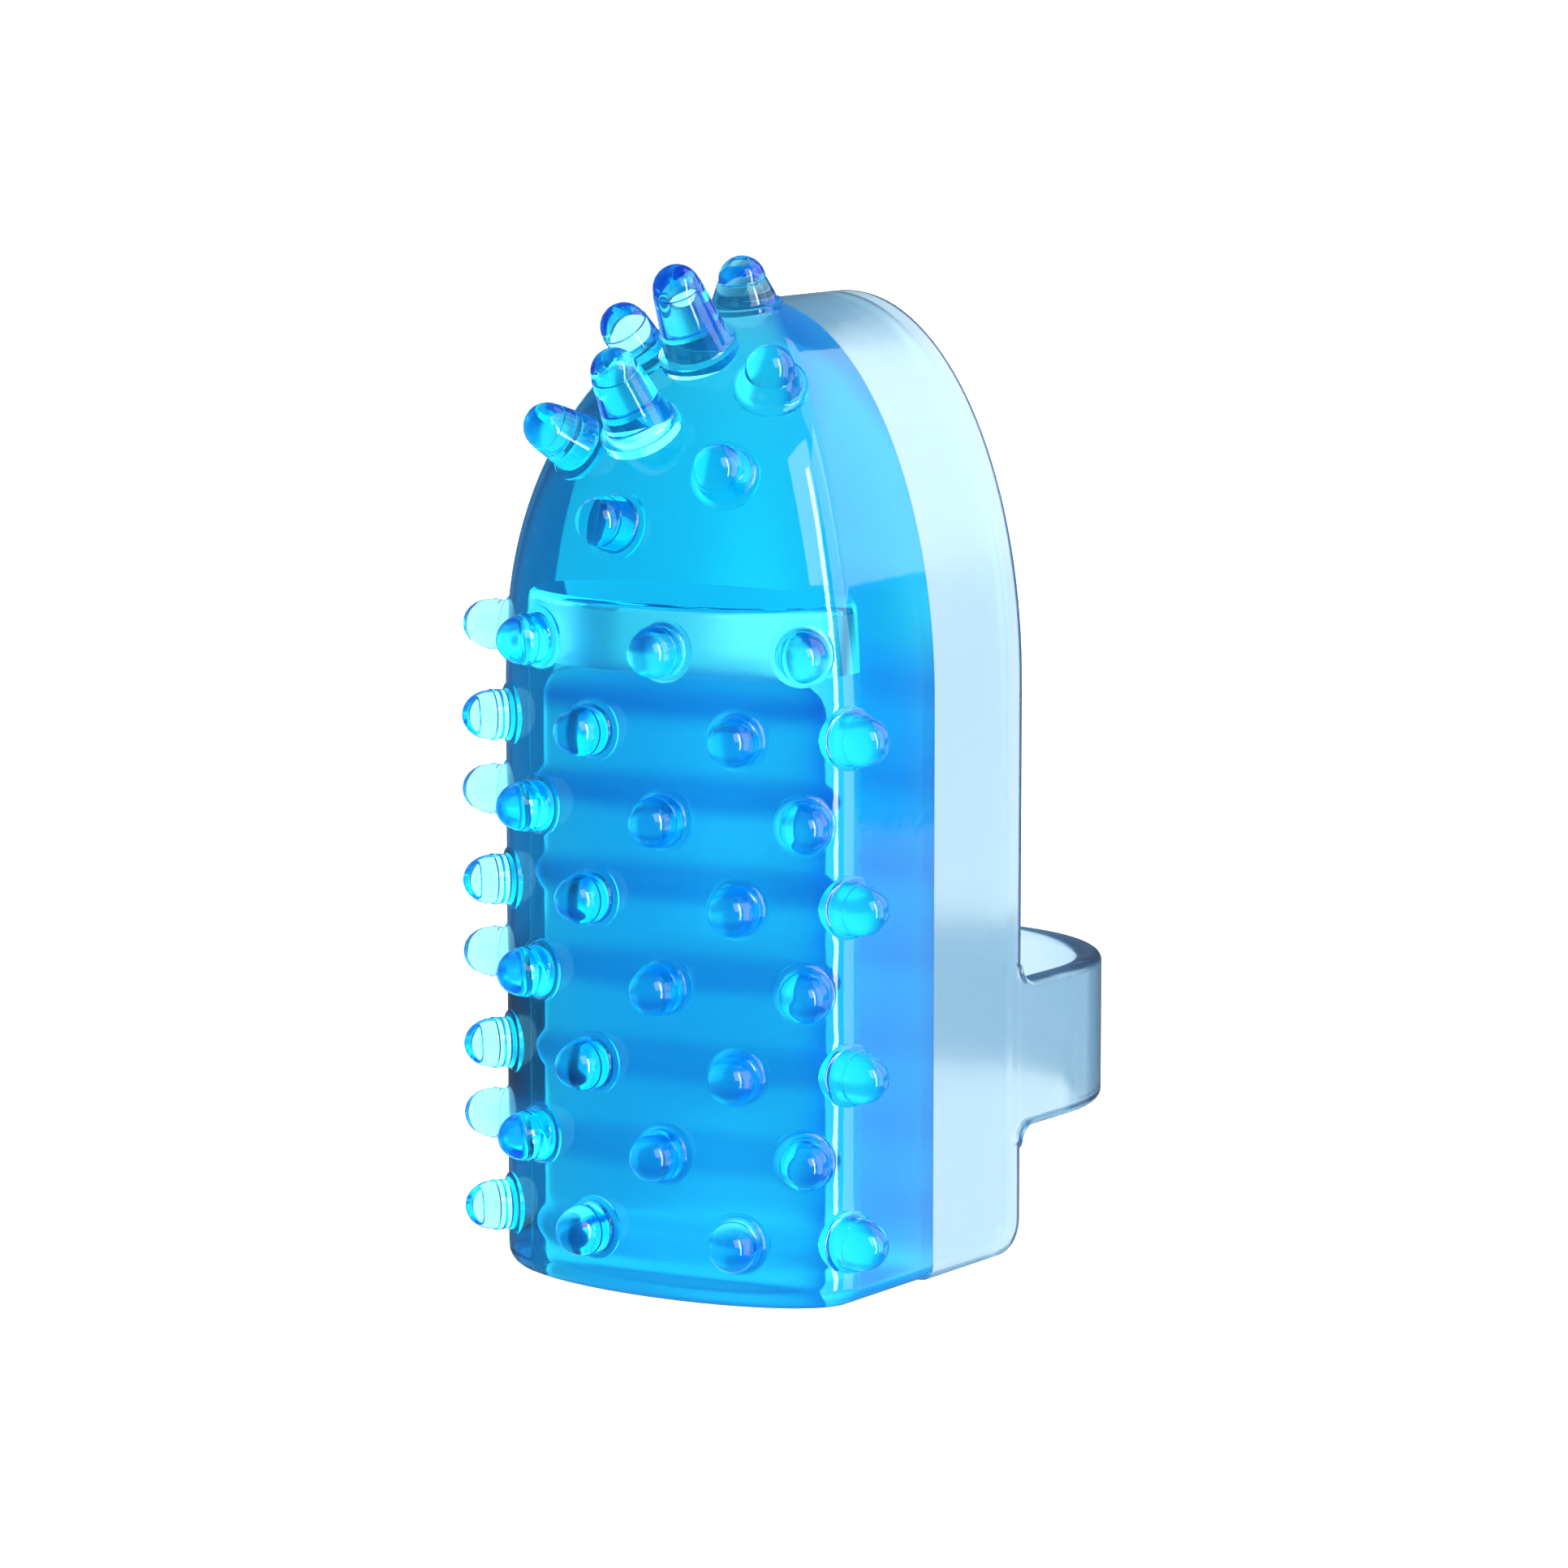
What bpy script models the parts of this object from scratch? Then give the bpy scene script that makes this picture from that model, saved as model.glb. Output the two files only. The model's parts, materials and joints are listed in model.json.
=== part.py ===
# Finger toothbrush: a soft clear sleeve worn on a fingertip.
#
# +Z runs up the finger to the tip, -Y faces the nubs, +Y faces the finger strap, and X runs side to side.
# y = 0 is the middle of the wall between the nubbed pad and the finger, and z = 0 is the open lower end.
# The pad is a half-oval column with a domed nose. A ribbed core slides into its hollow from below.

import math

import bmesh
import bpy
from mathutils import Vector

mm = 0.001

# Sleeve, outside
height = 49.0 * mm
half_width = 10.4 * mm
front_reach = 10.5 * mm  # from the middle of the partition to the pad's front
front_bulge = 4.9 * mm  # depth of the half oval at the pad's front
side_dome = 19.6 * mm  # height over which the sides lean in to the crest
nose_dome = 15.6 * mm  # height over which the front leans back to the crest
base_round = 1.1 * mm

# Hollow in the pad, open at the bottom
partition = 2.4 * mm  # wall between the hollow and the finger
front_wall = 2.3 * mm
side_wall = 2.4 * mm
nose_depth = 14.4 * mm  # solid gel between the hollow's flat ceiling and the crest

# Core in the hollow
core_clearance = 0.3 * mm
core_lift = 0.3 * mm
core_headroom = 3.7 * mm
core_edge = 0.5 * mm
rib_depth = 0.5 * mm
rib_width = 1.2 * mm
rib_ramp = 0.35 * mm
first_rib = 2.4 * mm
rib_pitch = 4.5 * mm

# Finger cradle
cradle_depth = 8.4 * mm
cradle_wall = 1.6 * mm
cradle_corner = 1.8 * mm  # rounding of the lower rear corner, seen from the side
cradle_edge = 0.7 * mm  # rounding of its rear edges
cradle_seat = 0.1 * mm  # rounding of the edges that meet the pad
seam = 0.3 * mm  # gap between pieces that touch

# Finger strap
strap_bottom = 6.4 * mm
strap_height = 7.6 * mm
strap_wall = 1.4 * mm
strap_leg = 4.3 * mm
strap_flare = 1.5 * mm  # how far the strap widens up and down at its roots
strap_edge = 0.4 * mm

# Nubs on the pad: staggered columns that end below the dome
nub_radius = 1.25 * mm
nub_shank = 0.95 * mm
nub_dome = 1.45 * mm
nub_gap = 0.06 * mm
columns = 8
column_turn = math.radians(23.4)  # step round the half oval between neighbouring columns
nubs_each = 4
first_row = 3.4 * mm
bare_top = 16.4 * mm  # from the crest down to the highest row

# Nubs on the dome: drop of the foot below the crest, its x, foot radius, tip radius, length,
# and lean towards the crest in degrees
tip_nubs = (
    (0.15 * mm, 0.1 * mm, 1.6 * mm, 1.2 * mm, 2.4 * mm, 0),
    (2.2 * mm, 0.4 * mm, 1.7 * mm, 1.2 * mm, 4.8 * mm, 6),
    (2.6 * mm, -2.8 * mm, 1.3 * mm, 1.2 * mm, 3.2 * mm, 0),
    (6.0 * mm, -0.5 * mm, 1.7 * mm, 1.2 * mm, 4.6 * mm, 24),
    (6.9 * mm, -4.7 * mm, 1.5 * mm, 1.2 * mm, 3.4 * mm, 0),
    (3.7 * mm, 4.9 * mm, 1.5 * mm, 1.25 * mm, 2.5 * mm, 0),
    (7.9 * mm, 4.4 * mm, 1.4 * mm, 1.25 * mm, 2.4 * mm, 0),
    (10.5 * mm, -1.1 * mm, 1.4 * mm, 1.25 * mm, 2.5 * mm, 0),
)

# Mesh fineness
oval_steps = 28
dome_rings = 12
last_ring = 88  # degrees up the dome's arch, where a small flat closes it
bend_steps = 24
round_steps = 3
turned_steps = 12

pad_back = partition / 2
hollow_half_width = half_width - side_wall
hollow_half_depth = (front_reach - front_wall - pad_back) / 2
hollow_y = -pad_back - hollow_half_depth
hollow_height = height - nose_depth
cradle_front = pad_back + seam
cradle_back = cradle_front + cradle_depth
side_spring = height - side_dome
nose_spring = height - nose_dome
row_pitch = (height - bare_top - first_row) / (nubs_each - 0.5)  # between nubs of one column


def arch(z, spring, top):
    """Share of its full size that a quarter-ellipse arch still has at height z."""
    if z <= spring:
        return 1.0
    return math.sqrt(max(0.0, 1.0 - ((z - spring) / (top - spring)) ** 2))


def rounding(z, radius):
    """Inset of a quarter-round edge of this radius at distance z from the face it ends in."""
    if z >= radius:
        return 0.0
    return radius - math.sqrt(max(0.0, radius**2 - (radius - z) ** 2))


def pad_point(z, turn):
    """Point of the pad's outer oval at height z; turn is 0 at the front and a quarter turn at each side."""
    width = half_width * arch(z, side_spring, height)
    reach = -(front_reach + pad_back) * arch(z, nose_spring, height)
    bulge = front_bulge * width / half_width
    inset = rounding(z, base_round)
    x = (width - inset) * math.sin(turn)
    y = pad_back + reach + bulge - (bulge - inset) * math.cos(turn)
    return Vector((x, y, z))


def pad_normal(z, turn):
    """Outward normal of the pad's outer oval."""
    step = 1e-3
    across = pad_point(z, turn + step) - pad_point(z, turn - step)
    up = pad_point(z + step * height, turn) - pad_point(z - step * height, turn)
    return across.cross(up).normalized()


def gel(name, colour, alpha=0.6):
    material = bpy.data.materials.new(name)
    material.use_nodes = True
    shader = material.node_tree.nodes["Principled BSDF"]
    shader.inputs["Base Color"].default_value = (*colour, 1.0)
    shader.inputs["Alpha"].default_value = alpha
    shader.inputs["Roughness"].default_value = 0.08
    shader.inputs["Metallic"].default_value = 0.0
    shader.inputs["IOR"].default_value = 1.43
    return material


def add_object(name, mesh, collection, material):
    made = bpy.data.objects.new(name, mesh)
    collection.objects.link(made)
    if material:
        mesh.materials.append(material)
    mesh.shade_smooth()
    mesh.set_sharp_from_angle(angle=math.radians(40))
    return made


def loft(name, rings, collection, material=None):
    """Closed solid through rings that have the same number of points, with a flat cap at each end."""
    shell = bmesh.new()
    loops = [[shell.verts.new(point) for point in ring] for ring in rings]
    count = len(loops[0])
    for lower, upper in zip(loops, loops[1:]):
        for i in range(count):
            j = (i + 1) % count
            shell.faces.new((lower[i], lower[j], upper[j], upper[i]))
    shell.faces.new(loops[0])
    shell.faces.new(loops[-1])
    bmesh.ops.recalc_face_normals(shell, faces=shell.faces)
    mesh = bpy.data.meshes.new(name)
    shell.to_mesh(mesh)
    shell.free()
    return add_object(name, mesh, collection, material)


def rounded_section(half_wide, low, high, low_edge, high_edge):
    """Rounded rectangle as (across, up) pairs, with an edge radius for its low side and its high side."""
    points = []
    for quarter, side in enumerate((1, -1, -1, 1)):
        edge = high_edge if quarter < 2 else low_edge
        across = side * (half_wide - edge)
        up = high - edge if quarter < 2 else low + edge
        start = 90 * quarter
        for step in range(round_steps + 1):
            angle = math.radians(start + 90 * step / round_steps)
            points.append((across + edge * math.cos(angle), up + edge * math.sin(angle)))
    return points


def base_heights(radius):
    """Heights that follow a quarter-round from the face it ends in."""
    return [radius * (1 - math.cos(math.radians(90 * k / round_steps))) for k in range(round_steps + 1)]


def make_pad(collection, cutters):
    heights = base_heights(base_round)
    heights += [side_spring * k / 3 for k in (1, 2, 3)]
    for k in range(1, dome_rings + 1):
        heights.append(side_spring + side_dome * math.sin(math.radians(last_ring * k / dome_rings)))
    rings = []
    for z in heights:
        turns = [math.pi * (k / oval_steps - 0.5) for k in range(oval_steps + 1)]
        ring = [pad_point(z, turn) for turn in turns]
        ring.append(Vector((ring[-1].x, pad_back, z)))
        ring.append(Vector((ring[0].x, pad_back, z)))
        rings.append(ring)
    pad = loft("pad_body", rings, collection, gel("pad_gel", (0.01, 0.40, 0.86)))

    hollow = bmesh.new()
    bmesh.ops.create_cone(
        hollow, cap_ends=True, segments=36, radius1=1.0, radius2=1.0, depth=2 * hollow_height
    )
    bmesh.ops.scale(hollow, vec=(hollow_half_width, hollow_half_depth, 1.0), verts=hollow.verts)
    bmesh.ops.translate(hollow, vec=(0, hollow_y, 0), verts=hollow.verts)
    mesh = bpy.data.meshes.new("hollow_cutter")
    hollow.to_mesh(mesh)
    hollow.free()
    cutter = bpy.data.objects.new("hollow_cutter", mesh)
    cutters.objects.link(cutter)
    cutter.hide_render = True
    cutter.display_type = "WIRE"
    cut = pad.modifiers.new("hollow", "BOOLEAN")
    cut.object = cutter
    cut.solver = "EXACT"
    return pad


def make_core(collection, parent):
    """Oval plug with ribs all round it, a clearance smaller than the hollow."""
    wide = hollow_half_width - core_clearance
    deep = hollow_half_depth - core_clearance
    top = hollow_height - core_headroom
    outline = [(core_lift, rib_depth + core_edge), (core_lift + core_edge, rib_depth)]
    rib = first_rib
    while rib + rib_width / 2 + rib_ramp < top - core_edge:
        low = rib - rib_width / 2
        high = rib + rib_width / 2
        outline += [(low - rib_ramp, rib_depth), (low, 0.0), (high, 0.0), (high + rib_ramp, rib_depth)]
        rib += rib_pitch
    outline += [(top - core_edge, rib_depth), (top, rib_depth + core_edge)]
    turns = [math.tau * k / oval_steps for k in range(oval_steps)]
    rings = []
    for z, inset in outline:
        rings.append([Vector(((wide - inset) * math.cos(t), (deep - inset) * math.sin(t), z)) for t in turns])
    core = loft("ribbed_core", rings, collection, gel("core_gel", (0.0, 0.20, 0.72), 0.8))
    core.parent = parent
    return core


def cradle_path():
    """Stations along the cradle's wall, each its outer point and its inner point in the XZ plane."""
    stations = []
    for z in base_heights(cradle_corner) + [side_spring * k / 3 for k in (1, 2)]:
        stations.append(((half_width, z), (half_width - cradle_wall, z)))
    rise = height - side_spring
    for k in range(bend_steps + 1):
        angle = math.radians(180 * k / bend_steps)
        outer = (half_width * math.cos(angle), side_spring + rise * math.sin(angle))
        inner_x = (half_width - cradle_wall) * math.cos(angle)
        inner_z = side_spring + (rise - cradle_wall) * math.sin(angle)
        stations.append((outer, (inner_x, inner_z)))
    for z in reversed(base_heights(cradle_corner) + [side_spring * k / 3 for k in (1, 2)]):
        stations.append(((-half_width, z), (cradle_wall - half_width, z)))
    return stations


def make_cradle(collection):
    rings = []
    for outer, inner in cradle_path():
        back = cradle_back - rounding(outer[1], cradle_corner)
        middle = Vector((outer[0] + inner[0], 0, outer[1] + inner[1])) / 2
        half = Vector((outer[0] - inner[0], 0, outer[1] - inner[1])) / 2
        section = rounded_section(half.length, cradle_front, back, cradle_seat, cradle_edge)
        rings.append([middle + half.normalized() * across + Vector((0, y, 0)) for across, y in section])
    return loft("finger_cradle", rings, collection, gel("cradle_gel", (0.62, 0.78, 0.88), 0.45))


def make_strap(collection):
    """Band behind the cradle: a leg, a half circle and a leg, wider where it leaves the cradle."""
    start = cradle_back + seam
    radius = half_width - strap_wall / 2
    bend_y = start + strap_leg
    path = []
    for k in range(5):
        y = start + strap_leg * k / 5
        path.append((Vector((radius, y, 0)), Vector((1, 0, 0)), y - start))
    for k in range(bend_steps + 1):
        angle = math.radians(180 * k / bend_steps)
        out = Vector((math.cos(angle), math.sin(angle), 0))
        path.append((Vector((0, bend_y, 0)) + out * radius, out, strap_leg))
    for k in reversed(range(5)):
        y = start + strap_leg * k / 5
        path.append((Vector((-radius, y, 0)), Vector((-1, 0, 0)), y - start))
    rings = []
    for middle, out, run in path:
        flare = rounding(run * strap_flare / strap_leg, strap_flare)
        section = rounded_section(
            strap_wall / 2,
            strap_bottom - flare,
            strap_bottom + strap_height + flare,
            strap_edge,
            strap_edge,
        )
        rings.append([middle + out * across + Vector((0, 0, z)) for across, z in section])
    return loft("finger_strap", rings, collection, gel("strap_gel", (0.62, 0.78, 0.88), 0.45))


def nub_mesh(name, foot, tip, shank, dome, material):
    """Turned nub with its foot at the origin: a shank from foot radius to tip radius, then a dome."""
    outline = []
    for k in range(round_steps + 1):
        angle = math.radians(90 * (1 - k / round_steps))
        outline.append((tip * math.cos(angle), shank + dome * math.sin(angle)))
    outline += [(foot, 0.0), (0.0, 0.0)]
    mesh = bpy.data.meshes.new(name)
    mesh.from_pydata([(x, 0, z) for x, z in outline], [(k, k + 1) for k in range(len(outline) - 1)], [])
    mesh.materials.append(material)
    return mesh


def place_nub(name, mesh, z, turn, collection, foot=0.0, lean=0.0):
    """Stands a nub on the pad along its normal, or leaning to the crest, its foot just clear of it."""
    nub = bpy.data.objects.new(name, mesh)
    collection.objects.link(nub)
    normal = pad_normal(z, turn)
    uphill = (Vector((0, 0, 1)) - normal * normal.z).normalized()
    nub.location = pad_point(z, turn) + normal * (nub_gap + foot * math.sin(lean))
    nub.rotation_mode = "QUATERNION"
    nub.rotation_quaternion = (normal * math.cos(lean) + uphill * math.sin(lean)).to_track_quat("Z", "Y")
    turned = nub.modifiers.new("turned", "SCREW")
    turned.steps = turned_steps
    turned.render_steps = turned_steps
    turned.use_merge_vertices = True
    turned.merge_threshold = 0.00001
    turned.use_smooth_shade = True
    return nub


def make_nubs(collection):
    material = gel("nub_gel", (0.05, 0.48, 0.88), 0.5)
    mesh = nub_mesh("pad_nub", nub_radius, nub_radius, nub_shank, nub_dome, material)
    for column in range(columns):
        turn = column_turn * (column - (columns - 1) / 2)
        start = first_row + (row_pitch / 2 if column % 2 == 0 else 0.0)
        for row in range(nubs_each):
            place_nub(f"pad_nub_{column + 1}_{row + 1}", mesh, start + row * row_pitch, turn, collection)
    for number, (drop, x, foot, tip, length, lean) in enumerate(tip_nubs, 1):
        z = height - drop
        turn = math.asin(x / (half_width * arch(z, side_spring, height)))
        mesh = nub_mesh("tip_nub", foot, tip, length - tip, tip, material)
        place_nub(f"tip_nub_{number}", mesh, z, turn, collection, foot, math.radians(lean))


def main():
    for old in list(bpy.data.objects):
        bpy.data.objects.remove(old, do_unlink=True)
    parts = bpy.data.collections.new("finger_toothbrush")
    cutters = bpy.data.collections.new("cutters")
    bpy.context.scene.collection.children.link(parts)
    bpy.context.scene.collection.children.link(cutters)

    core_slide = bpy.data.objects.new("core_slide", None)
    core_slide.location = (0, hollow_y, 0)
    parts.objects.link(core_slide)

    make_pad(parts, cutters)
    make_cradle(parts)
    make_strap(parts)
    make_core(parts, core_slide)
    make_nubs(parts)


main()
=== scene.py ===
import json
import math

import bmesh
import bpy
from mathutils import Matrix, Vector


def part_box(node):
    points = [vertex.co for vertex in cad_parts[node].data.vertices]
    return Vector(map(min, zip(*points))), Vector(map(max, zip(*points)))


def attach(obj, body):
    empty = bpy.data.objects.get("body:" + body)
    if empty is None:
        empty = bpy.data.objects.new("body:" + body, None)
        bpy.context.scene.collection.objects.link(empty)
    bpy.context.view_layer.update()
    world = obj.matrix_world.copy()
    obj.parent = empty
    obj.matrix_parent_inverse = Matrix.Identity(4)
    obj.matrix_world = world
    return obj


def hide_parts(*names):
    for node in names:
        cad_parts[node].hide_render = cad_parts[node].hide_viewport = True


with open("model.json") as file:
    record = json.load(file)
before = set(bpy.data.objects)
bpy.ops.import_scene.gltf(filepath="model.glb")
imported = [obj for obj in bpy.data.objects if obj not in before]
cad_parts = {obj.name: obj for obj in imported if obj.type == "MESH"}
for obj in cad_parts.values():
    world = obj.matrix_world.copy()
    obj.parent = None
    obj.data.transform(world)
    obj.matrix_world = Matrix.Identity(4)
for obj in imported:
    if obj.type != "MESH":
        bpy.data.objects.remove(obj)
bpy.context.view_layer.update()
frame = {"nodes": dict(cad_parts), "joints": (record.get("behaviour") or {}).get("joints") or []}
mm = 0.001

padLow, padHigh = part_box("pad_body")
cradleLow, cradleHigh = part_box("finger_cradle")
strapLow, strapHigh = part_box("finger_strap")
coreLow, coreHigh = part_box("ribbed_core")


# shader helpers


class Wire:
    # a shader socket that takes part in arithmetic
    def __init__(self, tree, socket):
        self.tree = tree
        self.socket = socket

    def math(self, operation, first, second):
        first = self if first is None else first
        return addNode(self.tree, "ShaderNodeMath", {"operation": operation}, {0: first, 1: second})

    def __add__(self, other):
        return self.math("ADD", self, other)

    def __radd__(self, other):
        return self.math("ADD", other, self)

    def __sub__(self, other):
        return self.math("SUBTRACT", self, other)

    def __rsub__(self, other):
        return self.math("SUBTRACT", other, self)

    def __mul__(self, other):
        return self.math("MULTIPLY", self, other)

    def __rmul__(self, other):
        return self.math("MULTIPLY", other, self)

    def __lt__(self, other):
        return self.math("LESS_THAN", self, other)

    def __gt__(self, other):
        return self.math("GREATER_THAN", self, other)


def addNode(tree, kind, settings, sockets, output=0):
    node = tree.nodes.new(kind)
    for name, value in settings.items():
        setattr(node, name, value)
    for name, value in sockets.items():
        if isinstance(value, Wire):
            tree.links.new(value.socket, node.inputs[name])
        else:
            node.inputs[name].default_value = value
    return Wire(tree, node.outputs[output])


def splitPlace(tree, place):
    parts = tree.nodes.new("ShaderNodeSeparateXYZ")
    tree.links.new(place.socket, parts.inputs[0])
    return [Wire(tree, parts.outputs[k]) for k in range(3)]


def rgba(colour):
    return (*colour, 1.0)


def mixColour(tree, factor, first, second):
    sockets = {0: factor, 6: first, 7: rgba(second)}
    return addNode(tree, "ShaderNodeMix", {"data_type": "RGBA"}, sockets, output=2)


def addNoise(tree, place, scale, detail):
    return addNode(tree, "ShaderNodeTexNoise", {}, {"Vector": place, "Scale": scale, "Detail": detail})


reliefShares = {"marks": 0.8, "haze": 0.2}


def gelMaterial(name, look, touching=None, satin=None, paintedShade=None):
    # clear glossy elastomer: faint flow marks, a little handling haze, colour by depth of gel
    material = bpy.data.materials.new(name)
    material.use_nodes = True
    tree = material.node_tree
    place = addNode(tree, "ShaderNodeTexCoord", {}, {}, output=3)
    stretch = {"Vector": place, "Scale": (1.0, 1.0, look["flowStretch"])}
    flow = addNode(tree, "ShaderNodeMapping", {}, stretch)
    marks = addNoise(tree, flow, look["flowScale"], 2.0)
    haze = addNoise(tree, place, look["hazeScale"], 4.0)
    tint = mixColour(tree, haze, rgba(look["tint"]), look["tintPale"])
    # painted shade: a darker tint laid over the base colour wherever the shade mask is 1
    if paintedShade:
        tint = mixColour(tree, paintedShade["mask"](tree, place), tint, paintedShade["tint"])
    relief = marks * reliefShares["marks"] + haze * reliefShares["haze"]
    bump = addNode(
        tree,
        "ShaderNodeBump",
        {},
        {"Height": relief, "Strength": look["reliefStrength"], "Distance": look["reliefDepth"]},
    )
    outer = tree.nodes["Principled BSDF"]
    roughness = haze * look["hazeRoughness"] + look["roughness"]
    if satin:
        roughness = roughness + satin["mask"](tree, place) * satin["roughness"]
    finishGel(tree, outer, look, tint, roughness, bump)
    output = tree.nodes["Material Output"]
    if touching:
        # where another soft piece presses on the wall the two wet each other, and the wall nearly vanishes
        inner = tree.nodes.new("ShaderNodeBsdfPrincipled")
        wetRoughness = haze * touching["look"]["hazeRoughness"] + touching["look"]["roughness"]
        finishGel(tree, inner, touching["look"], tint, wetRoughness, bump)
        mix = tree.nodes.new("ShaderNodeMixShader")
        tree.links.new(touching["mask"](tree, place).socket, mix.inputs[0])
        tree.links.new(outer.outputs[0], mix.inputs[1])
        tree.links.new(inner.outputs[0], mix.inputs[2])
        tree.links.new(mix.outputs[0], output.inputs["Surface"])
    absorb = tree.nodes.new("ShaderNodeVolumeAbsorption")
    absorb.inputs["Color"].default_value = rgba(look["depthColour"])
    absorb.inputs["Density"].default_value = look["depthDensity"]
    tree.links.new(absorb.outputs["Volume"], output.inputs["Volume"])
    return material


def finishGel(tree, shader, look, tint, roughness, bump):
    tree.links.new(tint.socket, shader.inputs["Base Color"])
    tree.links.new(roughness.socket, shader.inputs["Roughness"])
    tree.links.new(bump.socket, shader.inputs["Normal"])
    shader.inputs["IOR"].default_value = look["ior"]
    shader.inputs["Transmission Weight"].default_value = 1.0


# mesh helpers


def arch(z, spring, top):
    # share of its full size that a quarter-ellipse arch still has at height z
    if z <= spring:
        return 1.0
    return math.sqrt(max(0.0, 1.0 - ((z - spring) / (top - spring)) ** 2))


def edgeInset(z, radius):
    # inset of a quarter-round at distance z from the face it ends in
    if z >= radius:
        return 0.0
    return radius - math.sqrt(max(0.0, radius**2 - (radius - z) ** 2))


def extrudeLoop(mesh, edges):
    # a new loop of edges grown from this one, with its vertices
    made = bmesh.ops.extrude_edge_only(mesh, edges=edges)["geom"]
    verts = [part for part in made if isinstance(part, bmesh.types.BMVert)]
    held = set(verts)
    rim = [
        part
        for part in made
        if isinstance(part, bmesh.types.BMEdge) and part.verts[0] in held and part.verts[1] in held
    ]
    return rim, verts


def scaleAbout(mesh, verts, factors, centre):
    space = Matrix.Translation(-Vector(centre))
    bmesh.ops.scale(mesh, vec=factors, space=space, verts=verts)


def growRings(mesh, rim, rings, half, centre, nowInset):
    # a wall grown from an oval loop through rings of height and inset, closed by a flat face at its end
    wide, deep = half
    for z, inset in rings:
        rim, verts = extrudeLoop(mesh, rim)
        factors = ((wide - inset) / (wide - nowInset), (deep - inset) / (deep - nowInset), 1)
        scaleAbout(mesh, verts, factors, centre)
        bmesh.ops.translate(mesh, vec=(0, 0, z - verts[0].co.z), verts=verts)
        nowInset = inset
    bmesh.ops.contextual_create(mesh, geom=rim)
    return verts


def roundEdges(mesh, edges, offset, segments):
    bmesh.ops.bevel(
        mesh, geom=edges, offset=offset, affect="EDGES", segments=segments, profile=0.5, material=-1
    )


def sharpEdges(mesh, degrees, behind):
    # edges that fold by more than this and reach behind a depth
    return [
        edge
        for edge in mesh.edges
        if len(edge.link_faces) == 2
        and edge.calc_face_angle() > math.radians(degrees)
        and max(vert.co.y for vert in edge.verts) > behind
    ]


def lastSpun(spun, kind):
    return [part for part in spun["geom_last"] if isinstance(part, kind)][0]


def objectFrom(mesh, name, material, sharpAngle=32.0):
    bmesh.ops.remove_doubles(mesh, verts=mesh.verts, dist=1e-7)
    bmesh.ops.recalc_face_normals(mesh, faces=mesh.faces)
    data = bpy.data.meshes.new(name)
    mesh.to_mesh(data)
    mesh.free()
    data.shade_smooth()
    data.set_sharp_from_angle(angle=math.radians(sharpAngle))
    data.materials.append(material)
    made = bpy.data.objects.new(name, data)
    bpy.context.scene.collection.objects.link(made)
    return made


def applyModifiers(body):
    bpy.context.view_layer.update()
    evaluated = body.evaluated_get(bpy.context.evaluated_depsgraph_get())
    data = bpy.data.meshes.new_from_object(evaluated)
    body.modifiers.clear()
    body.data = data


def smoothFaces(body, sharpAngle=32.0):
    # smooth shading that leaves the broad flat faces flat
    body.data.shade_smooth()
    body.data.set_sharp_from_angle(angle=math.radians(sharpAngle))
    level = body.modifiers.new("level", "WEIGHTED_NORMAL")
    level.keep_sharp = True
    level.weight = 50
    applyModifiers(body)


def joinSolids(body, other):
    # union of two closed objects, applied, with the other object removed
    join = body.modifiers.new("join", "BOOLEAN")
    join.operation = "UNION"
    join.solver = "MANIFOLD"
    join.object = other
    applyModifiers(body)
    bpy.data.objects.remove(other)
    smoothFaces(body)


# pad with its nubs

pad = {
    "bulge": 4.9 * mm,  # depth of the half oval at the front
    "sideDome": 19.6 * mm,  # height over which the sides lean in
    "noseDome": 15.6 * mm,  # height over which the front leans back
    "baseRound": 1.1 * mm,
    "lastRing": 89.0,  # degrees up the dome where the crest closes
    "ovalSteps": 56,
    "domeSteps": 34,
    "wallSteps": 22,
    "roundSteps": 6,
    "sideWall": 2.4 * mm,
    "frontWall": 2.3 * mm,
    "hollowTop": 34.6 * mm,
    "hollowEdge": 0.5 * mm,
    "hollowEdgeSteps": 4,
    "ceilingSlope": 0.08,  # the hollow's ceiling falls a little towards the front
    "hollowSteps": 64,
    "maskReach": 0.1 * mm,  # how far past the hollow's wall its mask goes
    "pressRise": 0.3 * mm,  # how far above the core's top it still wets the wall
    "backSkin": 0.02 * mm,  # depth of the back face that counts as satin
}
pad["width"] = padHigh.x
pad["back"] = padHigh.y
pad["height"] = cradleHigh.z
pad["reach"] = padHigh.y - padLow.y
hollowWide = pad["width"] - pad["sideWall"]
hollowDeep = (pad["reach"] - 2 * pad["back"] - pad["frontWall"]) / 2
hollowCentre = Vector((0, -pad["back"] - hollowDeep, 0))


def padSize(z):
    # half width, reach to the front and bulge of the pad at height z
    width = pad["width"] * arch(z, pad["height"] - pad["sideDome"], pad["height"])
    reach = pad["reach"] * arch(z, pad["height"] - pad["noseDome"], pad["height"])
    return width, reach, pad["bulge"] * width / pad["width"]


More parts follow.
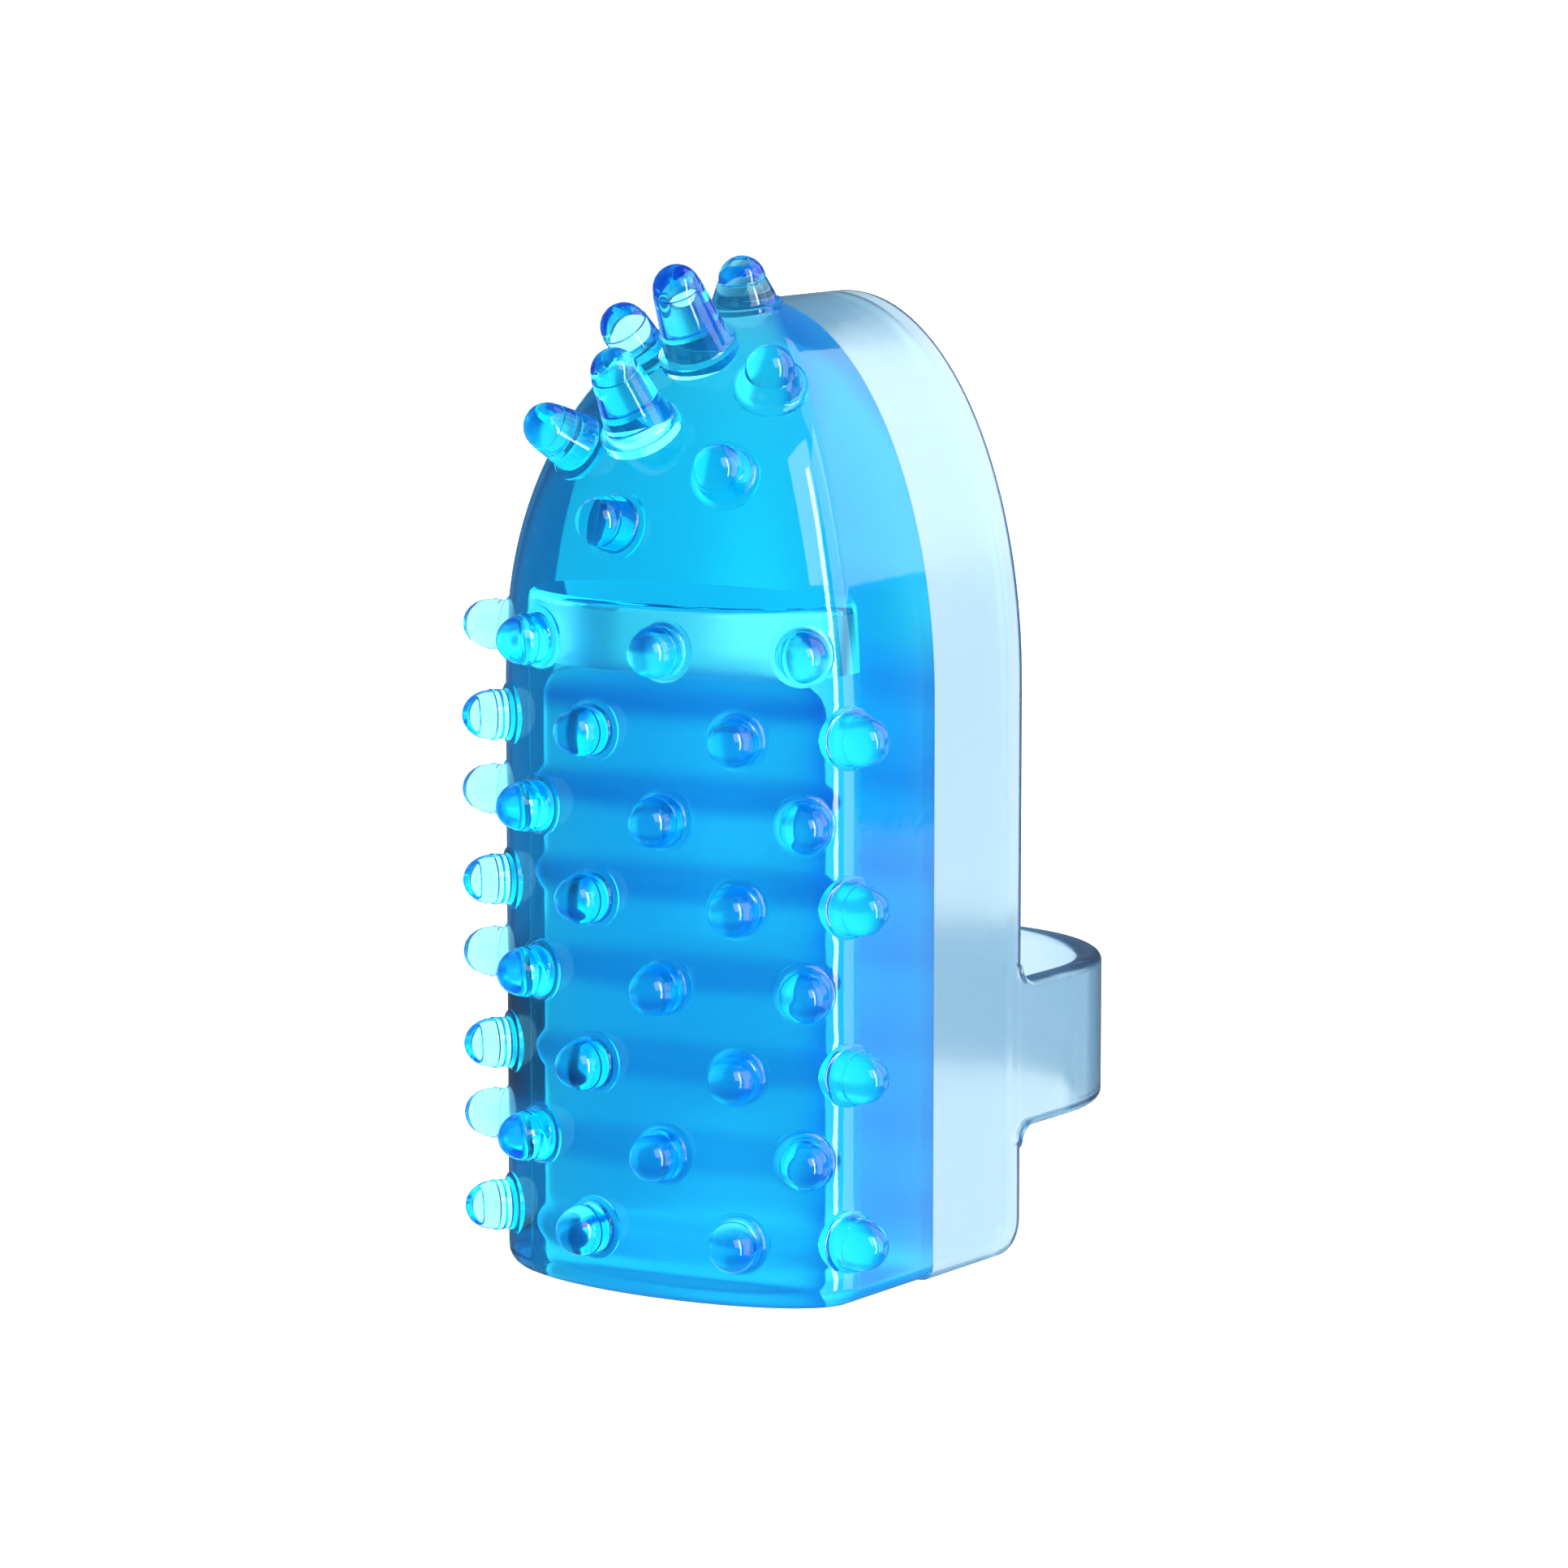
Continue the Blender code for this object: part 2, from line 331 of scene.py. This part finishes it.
def buildPad():
    mesh = bmesh.new()
    heights = [
        pad["baseRound"] * (1 - math.cos(math.radians(90 * k / pad["roundSteps"])))
        for k in range(pad["roundSteps"] + 1)
    ]
    spring = pad["height"] - pad["sideDome"]
    for k in range(1, pad["wallSteps"] + 1):
        heights.append(pad["baseRound"] + (spring - pad["baseRound"]) * k / pad["wallSteps"])
    for k in range(1, pad["domeSteps"] + 1):
        angle = math.radians(pad["lastRing"] * k / pad["domeSteps"])
        heights.append(spring + pad["sideDome"] * math.sin(angle))

    # the lowest section: a spun half circle squashed to the oval, and two corners behind it
    inset = pad["baseRound"]
    wide = pad["width"] - inset
    oval = mesh.verts.new((wide, 0, 0))
    spun = bmesh.ops.spin(
        mesh, geom=[oval], cent=(0, 0, 0), axis=(0, 0, 1), angle=-math.pi, steps=pad["ovalSteps"]
    )
    bmesh.ops.scale(mesh, vec=(1, (pad["bulge"] - inset) / wide, 1), verts=mesh.verts)
    bmesh.ops.translate(mesh, vec=(0, pad["back"] - pad["reach"] + pad["bulge"], 0), verts=mesh.verts)
    ovalVerts = list(mesh.verts)
    last = lastSpun(spun, bmesh.types.BMVert)
    first = max(ovalVerts, key=lambda vert: vert.co.x)
    corners = []
    for end in (first, last):
        corner = mesh.verts.new((end.co.x, pad["back"], 0))
        mesh.edges.new((end, corner))
        corners.append(corner)
    mesh.edges.new(corners)
    rim = list(mesh.edges)
    baseRim = rim
    nowInset = inset
    width, reach, bulge = padSize(0)
    for z in heights[1:]:
        rim, verts = extrudeLoop(mesh, rim)
        newInset = edgeInset(z, pad["baseRound"])
        newWidth, newReach, newBulge = padSize(z)
        oldZ = verts[0].co.z
        rear = [vert for vert in verts if vert.co.y > pad["back"] - 1e-6]
        front = [vert for vert in verts if vert.co.y <= pad["back"] - 1e-6]
        sideways = (newWidth - newInset) / (width - nowInset)
        deep = (newBulge - newInset) / (bulge - nowInset)
        scaleAbout(mesh, rear, (sideways, 1, 1), (0, 0, 0))
        scaleAbout(mesh, front, (sideways, deep, 1), (0, pad["back"] - reach + bulge, 0))
        bmesh.ops.translate(mesh, vec=(0, (reach - bulge) - (newReach - newBulge), 0), verts=front)
        bmesh.ops.translate(mesh, vec=(0, 0, z - oldZ), verts=verts)
        width, reach, bulge, nowInset = newWidth, newReach, newBulge, newInset
    bmesh.ops.contextual_create(mesh, geom=rim)

    # the hollow: an oval loop run up to a flat ceiling with a small rounded edge
    before = set(mesh.edges)
    loop = bmesh.ops.create_circle(mesh, segments=pad["hollowSteps"], radius=1.0)["verts"]
    bmesh.ops.scale(mesh, vec=(hollowWide, hollowDeep, 1), verts=loop)
    bmesh.ops.translate(mesh, vec=hollowCentre, verts=loop)
    rim = [edge for edge in mesh.edges if edge not in before]
    bmesh.ops.triangle_fill(mesh, edges=baseRim + rim, use_beauty=True, normal=(0, 0, -1))
    edge = pad["hollowEdge"]
    stops = [(pad["hollowTop"] - edge, 0.0)]
    for k in range(1, pad["hollowEdgeSteps"] + 1):
        angle = math.radians(90 * k / pad["hollowEdgeSteps"])
        stops.append((pad["hollowTop"] - edge + edge * math.sin(angle), edge * (1 - math.cos(angle))))
    for vert in growRings(mesh, rim, stops, (hollowWide, hollowDeep), hollowCentre, 0.0):
        vert.co.z += (vert.co.y - hollowCentre.y) * pad["ceilingSlope"]
    return mesh


nub = {
    "steps": 28,
    "domeSteps": 7,
    "filletSteps": 4,
    "fillet": 0.35 * mm,  # flare where the shank meets the pad
    "sunk": 0.5 * mm,  # how far a nub reaches into the pad before the two are joined
    "ring": 0.05 * mm,  # step where the dome meets the shank
    "flat": 0.1 * mm,  # height below which a point of the solid belongs to the foot
}


def readNub(node):
    # foot, axis, radii and lengths of a turned nub, from its foot, the widest group of coplanar faces
    groups = {}
    for face in node.data.polygons:
        key = tuple(round(part, 2) for part in face.normal)
        groups.setdefault(key, []).append(face)
    flat = max(groups.values(), key=lambda faces: sum(face.area for face in faces))
    area = sum(face.area for face in flat)
    foot = sum((face.center * face.area for face in flat), Vector()) / area
    axis = -sum((face.normal * face.area for face in flat), Vector()).normalized()
    low = []
    high = []
    for vert in node.data.vertices:
        rise = (vert.co - foot).dot(axis)
        out = (vert.co - foot - axis * rise).length
        (low if rise < nub["flat"] else high).append((rise, out))
    return {
        "foot": foot,
        "axis": axis,
        "footRadius": max(out for rise, out in low),
        "tipRadius": max(out for rise, out in high),
        "shank": min(rise for rise, out in high),
        "length": max(rise for rise, out in high),
    }


def addNub(mesh, size):
    # turned outline, top to bottom: dome, fine step, shank, flared root, and a plug sunk into the pad
    tip = size["tipRadius"]
    root = size["footRadius"]
    dome = size["length"] - size["shank"]
    outline = []
    for k in range(nub["domeSteps"] + 1):
        angle = math.radians(90 * (1 - k / nub["domeSteps"]))
        outline.append((tip * math.cos(angle), size["shank"] + dome * math.sin(angle)))
    outline.append((tip + nub["ring"], size["shank"] - nub["ring"]))
    for k in range(nub["filletSteps"] + 1):
        angle = math.radians(90 * k / nub["filletSteps"])
        out, rise = 1 - math.cos(angle), 1 - math.sin(angle)
        outline.append((root + nub["fillet"] * out, nub["fillet"] * rise))
    outline.append((root + nub["fillet"], -nub["sunk"]))
    outline.append((0, -nub["sunk"]))
    verts = [mesh.verts.new((x, 0, z)) for x, z in outline]
    edges = [mesh.edges.new(pair) for pair in zip(verts, verts[1:])]
    bmesh.ops.spin(
        mesh, geom=verts + edges, cent=(0, 0, 0), axis=(0, 0, 1), angle=math.tau, steps=nub["steps"],
        use_merge=True
    )
    made = set(verts)
    for face in mesh.faces:
        if not face.tag:
            made.update(face.verts)
            face.tag = True
    turn = size["axis"].to_track_quat("Z", "Y").to_matrix().to_4x4()
    bmesh.ops.transform(mesh, matrix=Matrix.Translation(size["foot"]) @ turn, verts=list(made))


def buildNubs():
    mesh = bmesh.new()
    for name, node in sorted(frame["nodes"].items()):
        if "_nub_" in name:
            addNub(mesh, readNub(node))
    return mesh


padLook = {
    "tint": (0.90, 0.98, 1.0),
    "tintPale": (0.94, 0.99, 1.0),
    "roughness": 0.02,
    "hazeRoughness": 0.05,
    "hazeScale": 900.0,
    "flowScale": 160.0,
    "flowStretch": 0.35,
    "reliefStrength": 0.25,
    "reliefDepth": 0.05 * mm,
    "ior": 1.42,
    "depthColour": (0.0, 0.912, 0.984),
    "depthDensity": 430.0,
}
wetLook = {**padLook, "roughness": 0.35, "hazeRoughness": 0.2, "ior": 1.02}
satinRoughness = 0.28  # what the satin walls add


def hollowSection(x, y):
    # 1 inside the hollow's oval and on its wall
    across = x * (1 / (hollowWide + pad["maskReach"]))
    along = (y + (pad["back"] + hollowDeep)) * (1 / (hollowDeep + pad["maskReach"]))
    return across * across + along * along < 1.0


def hollowMask(tree, place):
    # 1 on the wall of the hollow as far up as the core presses on it
    x, y, z = splitPlace(tree, place)
    return hollowSection(x, y) * (z < coreHigh.z + pad["pressRise"])


def satinMask(tree, place):
    # 1 on the satin walls: the back of the pad, that the finger lies on, and the sides of the hollow
    x, y, z = splitPlace(tree, place)
    sides = hollowSection(x, y) * (z < pad["hollowTop"] - pad["hollowEdge"])
    return (y > pad["back"] - pad["backSkin"]) + sides


padGel = gelMaterial(
    "padGel",
    padLook,
    {"look": wetLook, "mask": hollowMask},
    {"roughness": satinRoughness, "mask": satinMask},
)
sleeve = objectFrom(buildPad(), "nubbed_pad", padGel)
joinSolids(sleeve, objectFrom(buildNubs(), "nubs", padGel))
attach(sleeve, "sleeve")
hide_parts("pad_body", *[name for name in frame["nodes"] if "_nub_" in name])
print("pad and nubs made,", len(sleeve.data.polygons), "faces")


# finger cradle and strap

cradle = {
    "wall": 1.6 * mm,
    "corner": 1.8 * mm,  # rounding of the lower rear corner, seen from the side
    "cornerSteps": 8,
    "edge": 0.7 * mm,
    "edgeSteps": 5,
    "foldAngle": 60.0,  # edges that fold by more than this are rounded
    "frontKept": 1.0 * mm,  # depth at the front that keeps its sharp edges, where the pad joins on
    "ground": 0.01 * mm,  # height below which a point is on the flat base
    "archSteps": 72,
    "seam": 0.012 * mm,  # hairline between the cradle and the pad
}


def archOutline(mesh, wide, rise, spring, y):
    # an arch in an upright plane: a spun half circle stretched to its rise, with a leg from each end
    start = mesh.verts.new((wide, y, 0))
    before = set(mesh.verts)
    spun = bmesh.ops.spin(
        mesh, geom=[start], cent=(0, y, 0), axis=(0, 1, 0), angle=-math.pi, steps=cradle["archSteps"]
    )
    verts = [vert for vert in mesh.verts if vert not in before] + [start]
    bmesh.ops.scale(mesh, vec=(1, 1, rise / wide), verts=verts)
    bmesh.ops.translate(mesh, vec=(0, 0, spring), verts=verts)
    end = lastSpun(spun, bmesh.types.BMVert)
    for top in (start, end):
        foot = mesh.verts.new((top.co.x, y, 0))
        mesh.edges.new((top, foot))


def buildCradle():
    mesh = bmesh.new()
    wide = cradleHigh.x
    rise = pad["sideDome"]
    spring = cradleHigh.z - rise
    front = pad["back"] + cradle["seam"]
    archOutline(mesh, wide, rise, spring, front)
    archOutline(mesh, wide - cradle["wall"], rise - cradle["wall"], spring, front)
    bmesh.ops.bridge_loops(mesh, edges=list(mesh.edges))
    grown = bmesh.ops.extrude_face_region(mesh, geom=list(mesh.faces))["geom"]
    rear = [part for part in grown if isinstance(part, bmesh.types.BMVert)]
    bmesh.ops.translate(mesh, vec=(0, cradleHigh.y - front, 0), verts=rear)
    bmesh.ops.recalc_face_normals(mesh, faces=mesh.faces)
    held = set(rear)
    feet = [
        edge
        for edge in mesh.edges
        if all(vert in held and vert.co.z < cradle["ground"] for vert in edge.verts)
    ]
    roundEdges(mesh, feet, cradle["corner"], cradle["cornerSteps"])
    rims = sharpEdges(mesh, cradle["foldAngle"], front + cradle["frontKept"])
    roundEdges(mesh, rims, cradle["edge"], cradle["edgeSteps"])
    return mesh


strap = {
    "wall": 1.4 * mm,
    "flare": 1.5 * mm,  # what the CAD strap's roots add above and below the band
    "root": 1.1 * mm,  # rounding where a leg grows out of the cradle
    "rootSteps": 8,
    "edge": 0.4 * mm,
    "edgeSteps": 4,
    "foldAngle": 50.0,  # edges that fold by more than this are rounded
    "bendSteps": 56,
    "sunk": 1.2 * mm,  # how far the roots reach into the cradle before the two are joined
    "flush": 0.01 * mm,  # keeps the roots just inside the cradle's side
}


def buildStrap():
    mesh = bmesh.new()
    outer = strapHigh.x - strap["flush"]
    inner = strapHigh.x - strap["wall"]
    low = strapLow.z + strap["flare"]
    high = strapHigh.z - strap["flare"]
    middle = (low + high) / 2
    start = cradleHigh.y
    bend = strapHigh.y - strapHigh.x
    stations = [(start - strap["sunk"], strap["root"])]
    for k in range(strap["rootSteps"] + 1):
        run = k / strap["rootSteps"]
        grow = strap["root"] * (1 - math.sqrt(1 - (1 - run) ** 2))
        stations.append((start + strap["root"] * run, grow))
    stations.append((bend, 0.0))
    # the right leg's section, grown along the leg with its rounded root shrinking
    corners = [(inner, low), (outer, low), (outer, high), (inner, high)]
    section = [mesh.verts.new((x, stations[0][0], z)) for x, z in corners]
    face = mesh.faces.new(section)
    tall = high - low + 2 * strap["root"]
    scaleAbout(mesh, section, (1, 1, tall / (high - low)), (0, 0, middle))
    for k, (y, grow) in enumerate(stations[1:]):
        kept = k == 0  # the first face stays, and closes the leg's root
        face, tall = growSection(mesh, face, y, (tall, high - low + 2 * grow), middle, kept)
    spun = bmesh.ops.spin(
        mesh, geom=[face, *face.edges, *face.verts], cent=(0, bend, 0), axis=(0, 0, 1), angle=math.pi,
        steps=strap["bendSteps"]
    )
    dropFace(mesh, face)
    face = lastSpun(spun, bmesh.types.BMFace)
    for y, grow in reversed(stations[:-1]):
        face, tall = growSection(mesh, face, y, (tall, high - low + 2 * grow), middle)
    bmesh.ops.remove_doubles(mesh, verts=mesh.verts, dist=1e-6)
    bmesh.ops.recalc_face_normals(mesh, faces=mesh.faces)
    rims = sharpEdges(mesh, strap["foldAngle"], start - strap["sunk"] / 2)
    roundEdges(mesh, rims, strap["edge"], strap["edgeSteps"])
    return mesh


def dropFace(mesh, face):
    # a section that was grown on would leave a wall inside the strap
    if face.is_valid:
        bmesh.ops.delete(mesh, geom=[face], context="FACES_ONLY")


def growSection(mesh, face, y, heights, middle, kept=False):
    # one more station of the strap's leg: the end face carried to y and scaled to its new height
    tall, newTall = heights
    grown = bmesh.ops.extrude_face_region(mesh, geom=[face])["geom"]
    if not kept:
        dropFace(mesh, face)
    face = [part for part in grown if isinstance(part, bmesh.types.BMFace)][0]
    section = list(face.verts)
    bmesh.ops.translate(mesh, vec=(0, y - section[0].co.y, 0), verts=section)
    scaleAbout(mesh, section, (1, 1, newTall / tall), (0, 0, middle))
    return face, newTall


clearLook = {
    "tint": (0.70, 0.77, 0.82),
    "tintPale": (0.78, 0.84, 0.88),
    "roughness": 0.12,
    "hazeRoughness": 0.15,
    "hazeScale": 700.0,
    "flowScale": 140.0,
    "flowStretch": 0.3,
    "reliefStrength": 0.3,
    "reliefDepth": 0.06 * mm,
    "ior": 1.42,
    "depthColour": (0.0, 0.50, 0.72),
    "depthDensity": 300.0,
}
clearGel = gelMaterial("clearGel", clearLook)
holder = objectFrom(buildCradle(), "cradle_and_strap", clearGel)
joinSolids(holder, objectFrom(buildStrap(), "strap", clearGel))
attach(holder, "sleeve")
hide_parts("finger_cradle", "finger_strap")
print("cradle and strap made,", len(holder.data.polygons), "faces")


# ribbed core

core = {
    "ribDepth": 0.5 * mm,
    "ribWidth": 1.9 * mm,
    "firstRib": 2.4 * mm,
    "ribPitch": 4.5 * mm,
    "ribSteps": 8,
    "edge": 0.6 * mm,
    "crown": 1.6 * mm,  # rounding of the upper end
    "edgeSteps": 7,
    "steps": 72,
    "sharpAngle": 60.0,
}


def coreOutline():
    # height and inset of each ring of the core, from its lower end to its upper end
    rings = []
    for k in range(core["edgeSteps"] + 1):
        angle = math.radians(90 * k / core["edgeSteps"])
        rise = core["edge"] * (1 - math.cos(angle))
        rings.append((coreLow.z + rise, core["ribDepth"] + core["edge"] * (1 - math.sin(angle))))
    rib = core["firstRib"]
    while rib + core["ribWidth"] / 2 < coreHigh.z - core["crown"]:
        for k in range(core["ribSteps"] + 1):
            share = k / core["ribSteps"]
            inset = core["ribDepth"] * (1 - math.sin(math.pi * share))
            rings.append((rib + core["ribWidth"] * (share - 0.5), inset))
        rib += core["ribPitch"]
    for k in range(core["edgeSteps"] + 1):
        angle = math.radians(90 * (1 - k / core["edgeSteps"]))
        drop = core["crown"] * (1 - math.cos(angle))
        rings.append((coreHigh.z - drop, core["ribDepth"] + core["crown"] * (1 - math.sin(angle))))
    return rings


def buildCore():
    mesh = bmesh.new()
    wide = coreHigh.x
    deep = (coreHigh.y - coreLow.y) / 2
    centre = Vector((0, (coreHigh.y + coreLow.y) / 2, 0))
    rings = coreOutline()
    z, nowInset = rings[0]
    loop = bmesh.ops.create_circle(mesh, segments=core["steps"], radius=1.0, cap_ends=True)["verts"]
    bmesh.ops.scale(mesh, vec=(wide - nowInset, deep - nowInset, 1), verts=loop)
    bmesh.ops.translate(mesh, vec=centre + Vector((0, 0, z)), verts=loop)
    growRings(mesh, list(mesh.edges), rings[1:], (wide, deep), centre, nowInset)
    return mesh


coreLook = {
    "tint": (0.80, 0.95, 1.0),
    "tintPale": (0.86, 0.97, 1.0),
    "roughness": 0.30,
    "hazeRoughness": 0.15,
    "hazeScale": 800.0,
    "flowScale": 220.0,
    "flowStretch": 0.5,
    "reliefStrength": 0.3,
    "reliefDepth": 0.05 * mm,
    "ior": 1.08,
    "depthColour": (0.0, 0.78, 0.955),
    "depthDensity": 380.0,
}
# painted shade: dark bands over the core's ribs, with their tint, how narrow they are, and how strong they
# are at the top and at the foot
paintedRibShade = {"tint": (0.10, 0.40, 0.76), "sharpness": 4.0, "shadeAtTop": 1.0, "shadeAtFoot": 0.45}


def ribShadeMask(tree, place):
    # painted shade: 1 on the crest of each rib, where the colour is darkened into bands, and weaker
    # towards the lower end
    z = splitPlace(tree, place)[2]
    wave = ((z - core["firstRib"]) * (math.tau / core["ribPitch"])).math("COSINE", None, 0.0)
    crest = (wave * 0.5 + 0.5).math("POWER", None, paintedRibShade["sharpness"])
    gain = (paintedRibShade["shadeAtTop"] - paintedRibShade["shadeAtFoot"]) / coreHigh.z
    fade = z * gain + paintedRibShade["shadeAtFoot"]
    return crest * fade


# the core's gel, with painted shade bands over its ribs
coreGel = gelMaterial("coreGel", coreLook, paintedShade={"tint": paintedRibShade["tint"], "mask": ribShadeMask})
plug = objectFrom(buildCore(), "core", coreGel, core["sharpAngle"])
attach(plug, "core")
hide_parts("ribbed_core")
print("core made,", len(plug.data.polygons), "faces")


# floor, light and camera

studio = {
    "floorSize": 3.0,
    "floorColour": (0.93, 0.93, 0.93),
    "floorGap": 2.0 * mm,  # what is left under the core when it is drawn right out
    "grainScale": 40.0,
    "grainRoughness": 0.1,
    "floorRoughness": 0.75,
    "roomStrength": 1.5,
    "onFloor": 1.6,  # how bright the room is to the floor
    "mirrored": 0.14,  # how bright the room is where the gel mirrors it
    "aim": (0, 0, 25 * mm),
}
softboxes = {
    # azimuth, elevation, distance, size and radiance
    "creaseBox": (82, 10, 0.5, (0.07, 0.7), 20.0),
    "fillBox": (111, 10, 0.5, (0.26, 0.7), 3.5),
    "highBox": (146, 35, 0.7, (0.6, 0.78), 1.9),
    "lowBox": (146, -19, 0.5, (0.4, 0.18), 0.8),
    "noseBox": (72, 34, 0.6, (0.34, 0.44), 5.0),
}
bounces = {"max_bounces": 24, "glossy_bounces": 16, "transmission_bounces": 24}


def buildFloor():
    mesh = bmesh.new()
    bmesh.ops.create_grid(mesh, x_segments=1, y_segments=1, size=studio["floorSize"] / 2)
    material = bpy.data.materials.new("paleFloor")
    material.use_nodes = True
    tree = material.node_tree
    place = addNode(tree, "ShaderNodeTexCoord", {}, {}, output=3)
    grain = addNoise(tree, place, studio["grainScale"], 3.0)
    shader = tree.nodes["Principled BSDF"]
    roughness = grain * studio["grainRoughness"] + studio["floorRoughness"]
    tree.links.new(roughness.socket, shader.inputs["Roughness"])
    shader.inputs["Base Color"].default_value = rgba(studio["floorColour"])
    shader.inputs["Specular IOR Level"].default_value = 0.0
    reach = max(joint["range_m"][1] for joint in frame["joints"])
    bmesh.ops.translate(mesh, vec=(0, 0, -reach - studio["floorGap"]), verts=mesh.verts)
    floor = objectFrom(mesh, "floor", material)
    floor.visible_glossy = False


def directionOf(azimuth, elevation):
    # azimuth is 0 in front and 90 at +X
    turn = math.radians(azimuth)
    rise = math.radians(elevation)
    return Vector((math.sin(turn) * math.cos(rise), -math.cos(turn) * math.cos(rise), math.sin(rise)))


def addSoftbox(name, azimuth, elevation, distance, size, radiance):
    away = directionOf(azimuth, elevation)
    data = bpy.data.lights.new(name, "AREA")
    data.shape = "RECTANGLE"
    data.size, data.size_y = size
    data.energy = radiance * math.pi * size[0] * size[1]
    light = bpy.data.objects.new(name, data)
    light.location = Vector(studio["aim"]) + away * distance
    light.rotation_euler = away.to_track_quat("Z", "Y").to_euler()
    light.visible_camera = False
    light.visible_diffuse = False
    bpy.context.scene.collection.objects.link(light)


def lightWorld():
    # a white room, dimmer where a glossy surface mirrors it, so that the gel keeps its colour
    world = bpy.data.worlds.new("whiteRoom")
    bpy.context.scene.world = world
    world.use_nodes = True
    tree = world.node_tree
    path = tree.nodes.new("ShaderNodeLightPath").outputs
    mirrored = Wire(tree, path["Is Reflection Ray"]) * Wire(tree, path["Is Glossy Ray"])
    cast = Wire(tree, path["Is Diffuse Ray"])
    strength = studio["roomStrength"] - mirrored * (studio["roomStrength"] - studio["mirrored"])
    strength = strength + cast * (studio["onFloor"] - studio["roomStrength"])
    ground = tree.nodes["Background"]
    ground.inputs["Color"].default_value = (1.0, 1.0, 1.0, 1.0)
    tree.links.new(strength.socket, ground.inputs["Strength"])
    bpy.context.scene.view_settings.view_transform = "Standard"
    for name, count in bounces.items():
        setattr(bpy.context.scene.cycles, name, count)


view = {
    "azimuth": 33.97,
    "elevation": 8.33,
    "distance": 329.7 * mm,
    "aim": (1.51 * mm, 1.01 * mm, 24.6 * mm),
    "lens": 150.0,
    "sensor": 36.0,
    "clipStart": 0.01,
}


def placeCamera():
    away = directionOf(view["azimuth"], view["elevation"])
    data = bpy.data.cameras.new("camera")
    data.lens = view["lens"]
    data.sensor_width = view["sensor"]
    data.clip_start = view["clipStart"]
    camera = bpy.data.objects.new("camera", data)
    camera.location = Vector(view["aim"]) + away * view["distance"]
    camera.rotation_euler = away.to_track_quat("Z", "Y").to_euler()
    bpy.context.scene.collection.objects.link(camera)
    bpy.context.scene.camera = camera


buildFloor()
lightWorld()
for name, settings in softboxes.items():
    addSoftbox(name, *settings)
placeCamera()
print("stage made")
